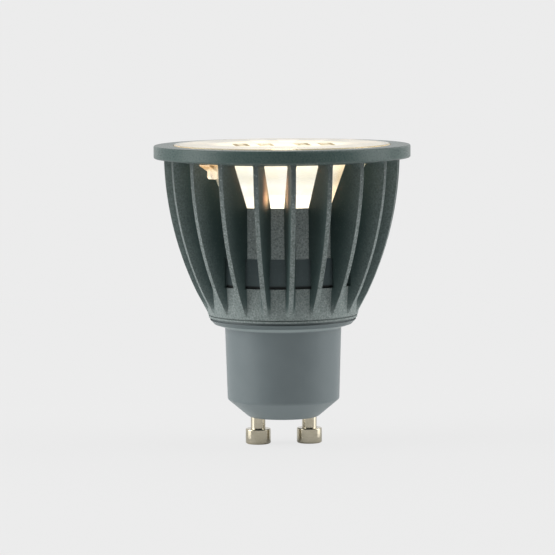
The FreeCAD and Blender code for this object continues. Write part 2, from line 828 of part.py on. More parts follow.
def film_capacitor():
    """Boxed film capacitor low on the front of the board."""
    face_y = -driver_board_thickness / 2
    low_z = tongue_z + film_rise
    left = film_x - film_width / 2
    box = block(left, left + film_width, face_y - film_depth, face_y, low_z, low_z + film_height)
    outward = [e for e in box.Edges if e.BoundBox.YMax < face_y - film_depth / 2]
    return box.makeFillet(film_edge_round, outward)


def fuse_resistor():
    """Fusible resistor lying along the board with its ends bent into it."""
    face_y = -driver_board_thickness / 2
    y = face_y - board_gap - fuse_dia / 2
    low_z = tongue_z + fuse_rise
    high_z = low_z + fuse_length
    body = turned([
        (0, low_z), (fuse_dia / 2, low_z, can_edge_round),
        (fuse_dia / 2, high_z, can_edge_round), (0, high_z)])
    body.translate(Vector(fuse_x, y, 0))
    ends = []
    for start_z, step in ((low_z, -component_wire_drop), (high_z, component_wire_drop)):
        route = [Vector(fuse_x, y, start_z), Vector(fuse_x, y, start_z + step)]
        route.append(Vector(fuse_x, face_y, start_z + step))
        ends.append(wire_run(route, component_wire_dia))
    return body.fuse(ends)


def flat_package(width, height, thickness, centre_z, leg_count):
    """Moulded package on the back of the board, legs out of its upper and lower sides."""
    face_y = driver_board_thickness / 2
    low_z = centre_z - height / 2
    high_z = centre_z + height / 2
    body_y = face_y + leg_thickness / 2
    body = block(-width / 2, width / 2, body_y, face_y + thickness, low_z, high_z)
    outward = [e for e in body.Edges if e.BoundBox.YMin > face_y + thickness - package_chamfer]
    body = body.makeChamfer(package_chamfer, outward)
    pitch = width / leg_count
    legs = []
    for i in range(leg_count):
        x = pitch * (i + 0.5) - width / 2
        legs.append(block(
            x - leg_width / 2, x + leg_width / 2, face_y, face_y + leg_thickness,
            low_z - leg_reach, high_z + leg_reach))
    return body.fuse(legs)


def driver_chip():
    """Driver chip on the tongue, under the transformer."""
    return flat_package(chip_width, chip_height, chip_thickness, shelf_z - chip_drop, 4)


def bridge_rectifier():
    """Mains rectifier low on the tongue."""
    centre_z = tongue_z + rectifier_rise
    return flat_package(rectifier_width, rectifier_height, rectifier_thickness, centre_z, 2)


def mains_lead(side):
    """Lead from a contact pin's crimp up to the front of the driver board."""
    face_y = -driver_board_thickness / 2
    start_z = cap_inside_z + pin_rivet_height
    bend_z = start_z + pin_crimp_length + mains_lead_stub
    pin_x = side * pin_pitch / 2
    pad_x = side * mains_lead_x
    away_y = face_y - mains_lead_reach
    pad_z = tongue_z + mains_lead_rise
    return wire_run([
        Vector(pin_x, 0, start_z), Vector(pin_x, 0, bend_z), Vector(pad_x, away_y, tongue_z + lead_dia),
        Vector(pad_x, away_y, pad_z), Vector(pad_x, face_y, pad_z)], lead_dia)


def light_lead(side):
    """Lead from the back of the driver board up through the platform to the light board."""
    face_y = driver_board_thickness / 2
    x = side * light_lead_spacing / 2
    start_z = shelf_z + driver_board_rise - light_lead_drop
    rise_z = platform_bottom_z - light_lead_rise_gap
    end_z = light_board_top_z + light_lead_proud
    return wire_run([
        Vector(x, face_y, start_z), Vector(x, face_y + light_lead_reach, start_z),
        Vector(x, light_lead_offset, rise_z), Vector(x, light_lead_offset, end_z)], lead_dia)


def pieces():
    """Every physical piece of the lamp, by the name a person would use."""
    return {
        "heatsink": heatsink(),
        "lens": lens(),
        "thermal_pad": thermal_pad(),
        "light_board": light_board(),
        "emitter_base": emitter_base(),
        "phosphor": phosphor(),
        "board_screws": Part.Compound(board_screws()),
        "cap_screws": Part.Compound(cap_screws()),
        "base_cap": base_cap(),
        "contact_pin_left": contact_pin(-pin_pitch / 2),
        "contact_pin_right": contact_pin(pin_pitch / 2),
        "driver_board": driver_board(),
        "smoothing_capacitor": smoothing_capacitor(),
        "output_capacitor": output_capacitor(),
        "film_capacitor": film_capacitor(),
        "fuse_resistor": fuse_resistor(),
        "filter_choke": filter_choke(),
        "transformer_core": transformer_core(),
        "transformer_winding": transformer_winding(),
        "driver_chip": driver_chip(),
        "bridge_rectifier": bridge_rectifier(),
        "mains_lead_left": mains_lead(-1),
        "mains_lead_right": mains_lead(1),
        "light_lead_left": light_lead(-1),
        "light_lead_right": light_lead(1),
    }


def save_all():
    """Write one file per piece into the parts folder."""
    os.makedirs("parts", exist_ok=True)
    for name, shape in pieces().items():
        print("%-20s solids %d valid %s volume %.1f" % (
            name, len(shape.Solids), shape.isValid(), shape.Volume))
        shape.exportStep(os.path.join("parts", name + ".step"))


save_all()
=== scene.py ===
"""Dressed model of a spotlight lamp with a two-pin twist-lock cap.

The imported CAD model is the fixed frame.  Everything here is in metres in that
same frame: the lamp's axis is Z, the pin tips stand on Z = 0, the lens faces up
and the two contact pins lie on the X axis.
"""
import json
import math

import bpy
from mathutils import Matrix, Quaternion, Vector


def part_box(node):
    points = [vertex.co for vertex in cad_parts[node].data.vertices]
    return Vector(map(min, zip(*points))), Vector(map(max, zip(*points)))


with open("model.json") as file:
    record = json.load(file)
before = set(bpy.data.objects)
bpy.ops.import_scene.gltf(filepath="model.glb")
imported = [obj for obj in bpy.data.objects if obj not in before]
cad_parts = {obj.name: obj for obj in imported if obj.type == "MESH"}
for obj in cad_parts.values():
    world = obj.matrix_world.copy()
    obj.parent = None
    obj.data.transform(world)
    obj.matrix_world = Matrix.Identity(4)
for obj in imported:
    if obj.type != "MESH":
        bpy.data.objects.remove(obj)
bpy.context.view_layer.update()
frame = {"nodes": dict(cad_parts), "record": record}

MM = 0.001

# Places on the lamp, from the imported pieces
lens_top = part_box("lens")[1][2]
rim_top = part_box("heatsink")[1][2]
rim_bottom = rim_top - 2.45 * MM
ledge_height = rim_top - 26.7 * MM
slot_top = ledge_height + 5.7 * MM
slot_floor_radius = 14.65 * MM
wall_radius = 15.5 * MM
hook_radius = 20.2 * MM
cap_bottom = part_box("base_cap")[0][2]
nose_top = cap_bottom + 3.45 * MM
barrel_top = nose_top + 14.0 * MM
knuckle_height = barrel_top + 0.7 * MM

# Where painted side light on the fins' sides begins, and how fast their outer edges curve inwards
fin_side_light_radius = 21.0 * MM
fin_curve = 0.0072 / MM

# Faint marks in the lens plate
mark_middles = (3.55 * MM, 8.2 * MM)
mark_half_width = 1.4 * MM
mark_half_hollow = 0.6 * MM
mark_depth = -3.5 * MM
mark_half_length = 4.4 * MM

# The photograph's view of the lamp
view_azimuth = math.radians(-5.4)
view_pitch = math.radians(5.2)
view_roll = math.radians(-0.36)
view_distance = 0.650
aim_height = 0.0323
focal_length = 217.6
frame_shift = -0.0096

# Lamps beside the bulb; a place is its depth and height, a size its width and height
left_lamp_power = 2.0
right_lamp_power = 1.52
side_lamp_distance = 0.5
side_lamp_place = (-0.05, 0.14)
side_lamp_target = (0.0, 0.0, 0.03)
side_lamp_size = (0.35, 0.6)

# Small lamps beside the contact pins
pin_lamp_distance = 16.0 * MM
pin_lamp_place = (-0.8 * MM, 3.0 * MM)
pin_lamp_size = (7.5 * MM, 5.5 * MM)
pin_lamp_power = 0.00006
pin_lamp_spread = math.radians(100.0)

# Warm strips in the gap between the two middle fins, at the angle of that gap
gap_angle = math.radians(-9.0)
glow_radius = 17.5 * MM
glow_width = 1.0 * MM
glow_height = 50.8 * MM
glow_length = 6.4 * MM
low_glow_height = 48.8 * MM
low_glow_length = 1.6 * MM
glow_power = 0.00024
glow_spread = math.radians(96.0)
glow_colour = (1.0, 0.4, 0.2)

# Air, floor and card
paper_white = (0.838, 0.838, 0.838, 1.0)
air_strength = 1.0
floor_reach = 30.0
floor_glow_near = 0.9
floor_glow_share = 0.75
floor_gloss_share = 0.1
shadow_near = 0.04
shadow_far = 0.3
card_distance = -1.0
card_half_width = 1.6
card_height = 2.0


def add(tree, kind, **settings):
    """New node in a tree, with the settings given by name."""
    node = tree.nodes.new(kind)
    for name, value in settings.items():
        setattr(node, name, value)
    return node


def joined(tree, pairs):
    """Links each output to its input."""
    for source, target in pairs:
        tree.links.new(source, target)


def maths(tree, operation, first, second=None, clamp=False):
    """Math node fed by outputs or plain numbers; returns its output."""
    node = add(tree, "ShaderNodeMath", operation=operation, use_clamp=clamp)
    for socket, value in zip(node.inputs, (first, second)):
        if value is None:
            continue
        if isinstance(value, (int, float)):
            socket.default_value = value
        else:
            tree.links.new(value, socket)
    return node.outputs[0]


def ramp(tree, value, start, end, low=0.0, high=1.0, soft=False):
    """Number that goes from low to high while a value goes from start to end."""
    spread = add(tree, "ShaderNodeMapRange", interpolation_type="SMOOTHSTEP" if soft else "LINEAR")
    for label, number in (("From Min", start), ("From Max", end), ("To Min", low), ("To Max", high)):
        spread.inputs[label].default_value = number
    tree.links.new(value, spread.inputs["Value"])
    return spread.outputs[0]


def inverse(tree, share):
    """One less a share."""
    return maths(tree, "SUBTRACT", 1.0, share)


def times(tree, first, second):
    """Product of two values."""
    return maths(tree, "MULTIPLY", first, second)


def new_group(name, numbers, results):
    """Empty shader group with named number inputs and the named outputs."""
    tree = bpy.data.node_groups.new(name, "ShaderNodeTree")
    for label, value in numbers:
        socket = tree.interface.new_socket(label, in_out="INPUT", socket_type="NodeSocketFloat")
        socket.default_value = value
    for label in results:
        tree.interface.new_socket(label, in_out="OUTPUT", socket_type="NodeSocketFloat")
    return tree, add(tree, "NodeGroupInput"), add(tree, "NodeGroupOutput")


def sized_coordinates(tree, size_in_mm):
    """Object coordinates in units of a size given in millimetres."""
    place = add(tree, "ShaderNodeTexCoord")
    scale = add(tree, "ShaderNodeVectorMath", operation="SCALE")
    share = maths(tree, "DIVIDE", 1.0 / MM, size_in_mm)
    joined(tree, [(place.outputs["Object"], scale.inputs[0]), (share, scale.inputs["Scale"])])
    return scale.outputs[0]


def make_grain_group():
    """Fine grain: rounded bumps with a little finer dust, and scattered bright grains."""
    tree, given, result = new_group(
        "fine_grain", [("Grain Size", 0.3), ("Spark Size", 0.6)], ["Height", "Spark"])
    bumps = add(tree, "ShaderNodeTexNoise")
    bumps.inputs["Scale"].default_value = 1.0
    bumps.inputs["Detail"].default_value = 2.5
    bumps.inputs["Roughness"].default_value = 0.6
    cells = add(tree, "ShaderNodeTexVoronoi")
    cells.inputs["Scale"].default_value = 1.0
    joined(tree, [
        (sized_coordinates(tree, given.outputs["Grain Size"]), bumps.inputs["Vector"]),
        (sized_coordinates(tree, given.outputs["Spark Size"]), cells.inputs["Vector"]),
        (ramp(tree, bumps.outputs["Fac"], 0.32, 0.68), result.inputs["Height"]),
        (ramp(tree, cells.outputs["Distance"], 0.34, 0.14), result.inputs["Spark"])])
    return tree


def make_cloud_group():
    """Slow unevenness across a surface, from nought to one."""
    tree, given, result = new_group("slow_cloud", [("Patch Size", 8.0)], ["Cloud"])
    cloud = add(tree, "ShaderNodeTexNoise")
    cloud.inputs["Scale"].default_value = 1.0
    cloud.inputs["Detail"].default_value = 3.0
    joined(tree, [
        (sized_coordinates(tree, given.outputs["Patch Size"]), cloud.inputs["Vector"]),
        (ramp(tree, cloud.outputs["Fac"], 0.3, 0.7), result.inputs["Cloud"])])
    return tree


def make_edge_group():
    """Mask that is one on sharp outer edges and fades over a width in millimetres, for rubbed paint and
    for painted highlights.
    """
    tree, given, result = new_group("edge_rub_and_highlight", [("Width", 0.3), ("Gain", 6.0)], ["Edge"])
    rounded = add(tree, "ShaderNodeBevel", samples=4)
    plain = add(tree, "ShaderNodeNewGeometry")
    alike = add(tree, "ShaderNodeVectorMath", operation="DOT_PRODUCT")
    radius = times(tree, given.outputs["Width"], MM)
    joined(tree, [
        (radius, rounded.inputs["Radius"]),
        (rounded.outputs[0], alike.inputs[0]),
        (plain.outputs["Normal"], alike.inputs[1])])
    apart = inverse(tree, alike.outputs["Value"])
    edge = maths(tree, "MULTIPLY", apart, given.outputs["Gain"], clamp=True)
    joined(tree, [(edge, result.inputs["Edge"])])
    return tree


def make_turning_group():
    """Tool lines of a turned surface, level bands along its height."""
    tree, given, result = new_group("turned_lines", [("Pitch", 0.12)], ["Line"])
    place = sized_coordinates(tree, given.outputs["Pitch"])
    parts = add(tree, "ShaderNodeSeparateXYZ")
    line = add(tree, "ShaderNodeTexNoise", noise_dimensions="1D")
    line.inputs["Scale"].default_value = 1.0
    line.inputs["Detail"].default_value = 2.0
    joined(tree, [
        (place, parts.inputs[0]),
        (parts.outputs["Z"], line.inputs["W"]),
        (line.outputs["Fac"], result.inputs["Line"])])
    return tree


grain_group = make_grain_group()
cloud_group = make_cloud_group()
edge_group = make_edge_group()
turning_group = make_turning_group()


def placed(tree, group, **numbers):
    """A group placed in a material, its inputs set by name with spaces as underscores."""
    node = add(tree, "ShaderNodeGroup", node_tree=group)
    for name, value in numbers.items():
        node.inputs[name.replace("_", " ")].default_value = value
    return node


def new_material(name, roughness, metallic=0.0):
    """Material with one Principled shader; returns its tree and that shader."""
    made = bpy.data.materials.new(name)
    made.use_nodes = True
    tree = made.node_tree
    shader = tree.nodes["Principled BSDF"]
    shader.inputs["Roughness"].default_value = roughness
    shader.inputs["Metallic"].default_value = metallic
    return made, tree, shader


def above(tree, value, limit, fade):
    """One where a value is above a limit, nought below it, with a soft change over the fade."""
    return ramp(tree, value, limit - fade / 2, limit + fade / 2, soft=True)


def place_on_lamp(tree):
    """Sideways place, depth, height and distance from the axis, all in metres."""
    place = add(tree, "ShaderNodeTexCoord")
    parts = add(tree, "ShaderNodeSeparateXYZ")
    level = add(tree, "ShaderNodeVectorMath", operation="MULTIPLY")
    level.inputs[1].default_value = (1.0, 1.0, 0.0)
    away = add(tree, "ShaderNodeVectorMath", operation="LENGTH")
    joined(tree, [
        (place.outputs["Object"], parts.inputs[0]),
        (place.outputs["Object"], level.inputs[0]),
        (level.outputs[0], away.inputs[0])])
    return parts.outputs["X"], parts.outputs["Y"], parts.outputs["Z"], away.outputs["Value"]


def value_between(tree, share, low, high):
    """Number that goes from low to high with a share from nought to one."""
    return ramp(tree, share, 0.0, 1.0, low, high)


def mixed(tree, share, low, high):
    """Colour from low to high by a share from nought to one; each is a plain colour or an output."""
    mix = add(tree, "ShaderNodeMix", data_type="RGBA")
    tree.links.new(share, mix.inputs["Factor"])
    for label, colour in (("A", low), ("B", high)):
        if isinstance(colour, tuple):
            mix.inputs[label].default_value = (*colour, 1.0)
        else:
            tree.links.new(colour, mix.inputs[label])
    return mix.outputs["Result"]


def bump(tree, shader, height, depth_in_mm, edge_round_in_mm=0.0):
    """Relief of a height mask on the shader's normal, over edges rounded by a small radius."""
    relief = add(tree, "ShaderNodeBump")
    relief.inputs["Distance"].default_value = depth_in_mm * MM
    joined(tree, [(height, relief.inputs["Height"]), (relief.outputs[0], shader.inputs["Normal"])])
    if edge_round_in_mm:
        rounded = add(tree, "ShaderNodeBevel", samples=4)
        rounded.inputs["Radius"].default_value = edge_round_in_mm * MM
        tree.links.new(rounded.outputs[0], relief.inputs["Normal"])


def faces_outward(tree):
    """One where a surface faces straight out from the lamp's axis, nought where it faces sideways."""
    geometry = add(tree, "ShaderNodeNewGeometry")
    level = add(tree, "ShaderNodeVectorMath", operation="MULTIPLY")
    level.inputs[1].default_value = (1.0, 1.0, 0.0)
    outward = add(tree, "ShaderNodeVectorMath", operation="NORMALIZE")
    along = add(tree, "ShaderNodeVectorMath", operation="DOT_PRODUCT")
    joined(tree, [
        (geometry.outputs["Position"], level.inputs[0]),
        (level.outputs[0], outward.inputs[0]),
        (outward.outputs[0], along.inputs[0]),
        (geometry.outputs["True Normal"], along.inputs[1])])
    return ramp(tree, along.outputs["Value"], 0.35, 0.8, soft=True)


def in_slots(tree, height, radius):
    """One on the floors of the slots in the core wall."""
    deep = inverse(tree, above(tree, radius, slot_floor_radius + 0.2 * MM, 0.1 * MM))
    over_ledge = above(tree, height, ledge_height - 0.05 * MM, 0.05 * MM)
    under_top = inverse(tree, above(tree, height, slot_top + 0.05 * MM, 0.05 * MM))
    return times(tree, deep, times(tree, over_ledge, under_top))


def near_fin_edge(tree, height, radius):
    """One along the fins' outer edges, which curve inwards below the rim, fading towards the core."""
    below = maths(tree, "SUBTRACT", rim_bottom, height)
    inset = times(tree, times(tree, below, below), fin_curve)
    return above(tree, maths(tree, "ADD", radius, inset), fin_side_light_radius, 5.0 * MM)


def smooth_paint(tree, grain, cloud, on_rim):
    """Smooth paint of the rim and of the fins' sides, with painted side light that makes the fins'
    sides paler and grainy towards their outer edges, most on the fins off to the sides.
    """
    sideways, _, height, radius = place_on_lamp(tree)
    fin_side = mixed(tree, cloud, (0.048, 0.08, 0.077), (0.062, 0.098, 0.094))
    # Painted side light: a paler grainy colour near the fins' outer edges, strongest on the fins off to
    # the sides, where the side lamps would light them.
    side_lit = mixed(tree, grain, (0.115, 0.148, 0.143), (0.245, 0.3, 0.291))
    aside = above(tree, maths(tree, "ABSOLUTE", sideways), 11.0 * MM, 12.0 * MM)
    outer = times(tree, near_fin_edge(tree, height, radius), inverse(tree, on_rim))
    dust = times(tree, outer, value_between(tree, aside, 0.2, 0.9))
    rim = mixed(tree, cloud, (0.054, 0.089, 0.082), (0.07, 0.109, 0.101))
    return mixed(tree, on_rim, mixed(tree, dust, fin_side, side_lit), rim)


def slot_floor_shade(tree, height):
    """Slot floors painted dark as painted shade of a deep recess, with a near-black painted shadow
    along the bottom above the ledge.
    """
    raised = above(tree, height, ledge_height + 0.5 * MM, 0.4 * MM)
    return mixed(tree, raised, (0.02, 0.025, 0.025), (0.095, 0.13, 0.135))


def sandy_paint(tree, grain, height, radius):
    """Sandy paint of the skirt, the core wall and the fins' edges, with the core wall painted paler as
    painted light and the fins' edges painted darker under the rim as painted shade.
    """
    skirt = mixed(tree, grain, (0.15, 0.186, 0.18), (0.29, 0.338, 0.328))
    fin_edge = mixed(tree, grain, (0.09, 0.116, 0.111), (0.265, 0.31, 0.3))
    # Painted shade: the fins' edges are painted darker under the rim, where it shades them.
    rim_shade = above(tree, height, rim_bottom - 7.0 * MM, 12.0 * MM)
    fin_edge = mixed(tree, times(tree, rim_shade, 0.85), fin_edge, (0.07, 0.09, 0.087))
    # The core wall's grain is its own; its paler tone is painted light, for light from the lit lens
    # reaching the wall between the fins.
    wall = mixed(tree, grain, (0.19, 0.232, 0.226), (0.49, 0.55, 0.54))
    near_axis = inverse(tree, above(tree, radius, wall_radius, 0.3 * MM))
    over_ledge = above(tree, height, ledge_height, 0.4 * MM)
    return mixed(tree, over_ledge, skirt, mixed(tree, near_axis, fin_edge, wall))


def sand_paint():
    """Dark green-grey paint, smooth or sandy by place, with pale grains and rubbed edges, and with
    painted side light on the fins, painted light on the core wall and painted shade under the rim and
    in the slots.
    """
    made, tree, shader = new_material("sand_paint", 0.5)
    shader.inputs["Specular IOR Level"].default_value = 0.3
    sand = placed(tree, grain_group, Grain_Size=0.34, Spark_Size=0.6)
    grain = sand.outputs["Height"]
    cloud = placed(tree, cloud_group, Patch_Size=6.0)
    edge = placed(tree, edge_group, Width=0.25, Gain=5.0)
    height, radius = place_on_lamp(tree)[2:]
    on_rim = above(tree, height, rim_bottom, MM)
    in_slot = in_slots(tree, height, radius)
    bare = maths(tree, "MAXIMUM", on_rim, in_slot)
    sandy = times(tree, faces_outward(tree), inverse(tree, bare))
    smooth = smooth_paint(tree, grain, cloud.outputs["Cloud"], on_rim)
    # The slot floors get their painted shade.
    smooth = mixed(tree, in_slot, smooth, slot_floor_shade(tree, height))
    colour = mixed(tree, sandy, smooth, sandy_paint(tree, grain, height, radius))
    spark = times(tree, sand.outputs["Spark"], value_between(tree, sandy, 0.05, 0.4))
    colour = mixed(tree, spark, colour, (0.42, 0.46, 0.45))
    rub = times(tree, edge.outputs["Edge"], times(tree, grain, 0.6))
    colour = mixed(tree, rub, colour, (0.17, 0.21, 0.2))
    gloss = value_between(tree, on_rim, 0.5, 0.24)
    joined(tree, [
        (colour, shader.inputs["Base Color"]),
        (maths(tree, "ADD", gloss, times(tree, grain, 0.1)), shader.inputs["Roughness"])])
    relief = times(tree, grain, value_between(tree, sandy, 0.12, 1.0))
    bump(tree, shader, relief, 0.06, edge_round_in_mm=0.15)
    return made


def satin_plastic():
    """Blue-grey moulded plastic of the cap, with painted light from below on its nose and on the
    flange's lower slope, painted shade under the heatsink's foot on the flange's upper slope, and
    painted highlights along its edges.
    """
    made, tree, shader = new_material("satin_plastic", 0.4)
    grain = placed(tree, grain_group, Grain_Size=0.12, Spark_Size=1.2)
    cloud = placed(tree, cloud_group, Patch_Size=5.0).outputs["Cloud"]
    edge = placed(tree, edge_group, Width=0.2, Gain=4.0)
    height = place_on_lamp(tree)[2]
    lit_low_slope = above(tree, height, barrel_top, 0.3 * MM)
    shaded_high_slope = above(tree, height, knuckle_height, 0.2 * MM)
    nose = inverse(tree, above(tree, height, nose_top, 0.8 * MM))
    colour = mixed(tree, cloud, (0.145, 0.18, 0.189), (0.159, 0.195, 0.203))
    # Painted light from below: the nose is painted paler.
    colour = mixed(tree, nose, colour, (0.185, 0.225, 0.233))
    # Painted light from below on the flange's lower slope, and painted shade under the heatsink's foot
    # on its upper slope.
    colour = mixed(tree, lit_low_slope, colour, (0.35, 0.41, 0.41))
    colour = mixed(tree, shaded_high_slope, colour, (0.115, 0.15, 0.155))
    # Painted highlight along the edges.
    colour = mixed(tree, times(tree, edge.outputs["Edge"], 0.45), colour, (0.27, 0.31, 0.32))
    joined(tree, [
        (colour, shader.inputs["Base Color"]),
        (value_between(tree, cloud, 0.36, 0.44), shader.inputs["Roughness"])])
    bump(tree, shader, grain.outputs["Height"], 0.006, edge_round_in_mm=0.15)
    return made


def turned_nickel():
    """Nickel on turned brass, satin, with fine level tool lines."""
    made, tree, shader = new_material("turned_nickel", 0.18, metallic=1.0)
    lines = placed(tree, turning_group, Pitch=0.09)
    cloud = placed(tree, cloud_group, Patch_Size=1.6)
    colour = mixed(tree, cloud.outputs["Cloud"], (0.46, 0.42, 0.32), (0.55, 0.5, 0.395))
    joined(tree, [
        (colour, shader.inputs["Base Color"]),
        (value_between(tree, lines.outputs["Line"], 0.06, 0.15), shader.inputs["Roughness"])])
    bump(tree, shader, lines.outputs["Line"], 0.006, edge_round_in_mm=0.12)
    return made


def lens_marks(tree, sideways, depth):
    """Four faint outlined marks in the lens plate, two on each side of its middle."""
    apart = maths(tree, "ABSOLUTE", sideways)
    bands = []
    for middle in mark_middles:
        off = maths(tree, "ABSOLUTE", maths(tree, "SUBTRACT", apart, middle))
        wide = inverse(tree, above(tree, off, mark_half_width, 0.3 * MM))
        hollow = times(tree, inverse(tree, above(tree, off, mark_half_hollow, 0.3 * MM)), 0.6)
        bands.append(maths(tree, "SUBTRACT", wide, hollow, clamp=True))
    band = maths(tree, "ADD", bands[0], bands[1], clamp=True)
    far = maths(tree, "ABSOLUTE", maths(tree, "SUBTRACT", depth, mark_depth))
    return times(tree, band, inverse(tree, above(tree, far, mark_half_length, 1.5 * MM)))


def tilted_marks(tree, shader, marks):
    """Tips the face of the marks towards the front, so that they show from low down."""
    geometry = add(tree, "ShaderNodeNewGeometry")
    mix = add(tree, "ShaderNodeMix", data_type="VECTOR")
    mix.inputs["B"].default_value = (0.0, -0.6, 0.8)
    even = add(tree, "ShaderNodeVectorMath", operation="NORMALIZE")
    joined(tree, [
        (marks, mix.inputs["Factor"]),
        (geometry.outputs["Normal"], mix.inputs["A"]),
        (mix.outputs["Result"], even.inputs[0]),
        (even.outputs[0], shader.inputs["Normal"])])


def lens_side(tree, height, radius):
    """Colours of the lens's side, which also set its painted glow: near white, grey-mottled at the top,
    a painted tan reflection where seen aslant and dark at grazing, amber on the hooks.
    """
    cloud = placed(tree, cloud_group, Patch_Size=3.0)
    slant = add(tree, "ShaderNodeLayerWeight").outputs["Facing"]
    side = mixed(tree, cloud.outputs["Cloud"], (1.0, 0.94, 0.8), (1.0, 0.99, 0.96))
    # Painted reflection: tan and then dark as the side is seen more aslant.
    side = mixed(tree, above(tree, slant, 0.32, 0.12), side, (0.8, 0.6, 0.38))
    side = mixed(tree, above(tree, slant, 0.43, 0.08), side, (0.2, 0.2, 0.16))
    mottle = placed(tree, cloud_group, Patch_Size=1.1)
    upper = above(tree, height, rim_bottom - 2.2 * MM, 0.8 * MM)
    top_mottle = times(tree, times(tree, mottle.outputs["Cloud"], upper), 0.4)
    side = mixed(tree, top_mottle, side, (0.68, 0.69, 0.62))
    far_out = above(tree, radius, hook_radius, 0.2 * MM)
    on_hook = times(tree, far_out, inverse(tree, above(tree, height, rim_bottom, 0.4 * MM)))
    hook_high = above(tree, height, rim_bottom - 1.4 * MM, 1.2 * MM)
    amber = mixed(tree, hook_high, (0.465, 0.363, 0.25), (0.372, 0.223, 0.1))
    return mixed(tree, on_hook, side, amber)


def lens_plate(tree, radius, marks):
    """Colour and painted glow of the lens's flat top: a painted pool of warm glow in the middle, tan
    further out, and tan marks painted as reflections of the warm light.
    """
    outer = above(tree, radius, 12.0 * MM, 6.0 * MM)
    colour = mixed(tree, outer, (0.85, 0.78, 0.64), (0.5, 0.43, 0.33))
    colour = mixed(tree, marks, colour, (0.42, 0.31, 0.17))
    # Painted glow: a warm pool in the middle of the plate, dim further out and on the marks.
    glow = mixed(tree, outer, (1.0, 0.81, 0.4), (0.12, 0.085, 0.0))
    glow = mixed(tree, marks, glow, (0.3, 0.21, 0.11))
    return colour, glow


def lit_lens():
    """Clear moulded lens lit from inside, its glow painted as emission standing for the LED's light
    passing through it.
    """
    made, tree, shader = new_material("lit_lens", 0.08)
    shader.inputs["IOR"].default_value = 1.49
    shader.inputs["Transmission Weight"].default_value = 1.0
    # Painted glow: the lens shines though only the LED is a light source.
    shader.inputs["Emission Strength"].default_value = 0.45
    sideways, depth, height, radius = place_on_lamp(tree)
    side = lens_side(tree, height, radius)
    marks = lens_marks(tree, sideways, depth)
    plate, plate_glow = lens_plate(tree, radius, marks)
    on_top = above(tree, height, lens_top - 0.3 * MM, 0.2 * MM)
    joined(tree, [
        (mixed(tree, on_top, side, plate_glow), shader.inputs["Emission Color"]),
        (mixed(tree, on_top, side, plate), shader.inputs["Base Color"]),
        (value_between(tree, on_top, 0.22, 0.06), shader.inputs["Roughness"])])
    tilted_marks(tree, shader, times(tree, marks, on_top))
    return made


def lit_phosphor():
    """Yellow phosphor dome of the emitter, shining warm white."""
    made, tree, shader = new_material("lit_phosphor", 0.5)
    grain = placed(tree, grain_group, Grain_Size=0.1, Spark_Size=0.2)
    colour = mixed(tree, grain.outputs["Height"], (0.9, 0.62, 0.14), (0.95, 0.74, 0.26))
    shader.inputs["Emission Strength"].default_value = 6.0
    joined(tree, [
        (colour, shader.inputs["Base Color"]),
        (mixed(tree, grain.outputs["Height"], (1.0, 0.8, 0.5), (1.0, 0.88, 0.64)),
         shader.inputs["Emission Color"])])
    bump(tree, shader, grain.outputs["Height"], 0.02)
    return made


def moulded(name, low, high, roughness, grain_size=0.2, relief=0.01, metallic=0.0):
    """Plain moulded, coated or sintered finish, mottled between two colours."""
    made, tree, shader = new_material(name, roughness, metallic)
    grain = placed(tree, grain_group, Grain_Size=grain_size, Spark_Size=4 * grain_size)
    cloud = placed(tree, cloud_group, Patch_Size=2.5)
    joined(tree, [
        (mixed(tree, cloud.outputs["Cloud"], low, high), shader.inputs["Base Color"]),
        (value_between(tree, grain.outputs["Height"], roughness - 0.08, roughness + 0.08),
         shader.inputs["Roughness"])])
    bump(tree, shader, grain.outputs["Height"], relief)
    return made


def slot_materials():
    """A finish for every material slot of the record."""
    return {
        "cast_body": sand_paint(),
        "clear_lens": lit_lens(),
        "soft_pad": moulded("filled_silicone", (0.25, 0.27, 0.3), (0.32, 0.34, 0.37), 0.7),
        "white_board": moulded("white_mask", (0.74, 0.74, 0.72), (0.8, 0.8, 0.78), 0.35, relief=0.004),
        "emitter_carrier": moulded("white_ceramic", (0.76, 0.76, 0.73), (0.82, 0.82, 0.79), 0.5),
        "phosphor": lit_phosphor(),
        "screw_steel": moulded("plated_screw", (0.5, 0.5, 0.48), (0.62, 0.61, 0.58), 0.3, metallic=1.0),
        "cap_plastic": satin_plastic(),
        "pin_nickel": turned_nickel(),
        "circuit_board": moulded("green_mask", (0.01, 0.07, 0.03), (0.014, 0.095, 0.04), 0.3),
        "capacitor_sleeve": moulded("black_sleeve", (0.01, 0.01, 0.013), (0.018, 0.018, 0.022), 0.28),
        "film_box": moulded("yellow_box", (0.48, 0.33, 0.03), (0.55, 0.4, 0.05), 0.45),
        "resistor_coat": moulded("blue_green_coat", (0.1, 0.26, 0.34), (0.13, 0.32, 0.4), 0.5),
        "ferrite": moulded("sintered_ferrite", (0.014, 0.014, 0.016), (0.028, 0.028, 0.03), 0.55),
        "winding_tape": moulded("yellow_tape", (0.6, 0.4, 0.05), (0.7, 0.5, 0.08), 0.3),
        "chip_resin": moulded("chip_resin", (0.008, 0.008, 0.009), (0.014, 0.014, 0.015), 0.6),
        "lead_white": moulded("white_sleeve", (0.68, 0.68, 0.66), (0.75, 0.75, 0.73), 0.45),
        "lead_black": moulded("black_lead", (0.01, 0.01, 0.01), (0.02, 0.02, 0.02), 0.45),
        "lead_red": moulded("red_lead", (0.3, 0.012, 0.008), (0.38, 0.02, 0.012), 0.45),
    }


def dress_nodes(finishes):
    """Gives every CAD piece the finish of its slot."""
    for part in frame["record"]["subparts"]:
        mesh = frame["nodes"][part["node"]].data
        mesh.materials.clear()
        mesh.materials.append(finishes[part["material_slot"]])


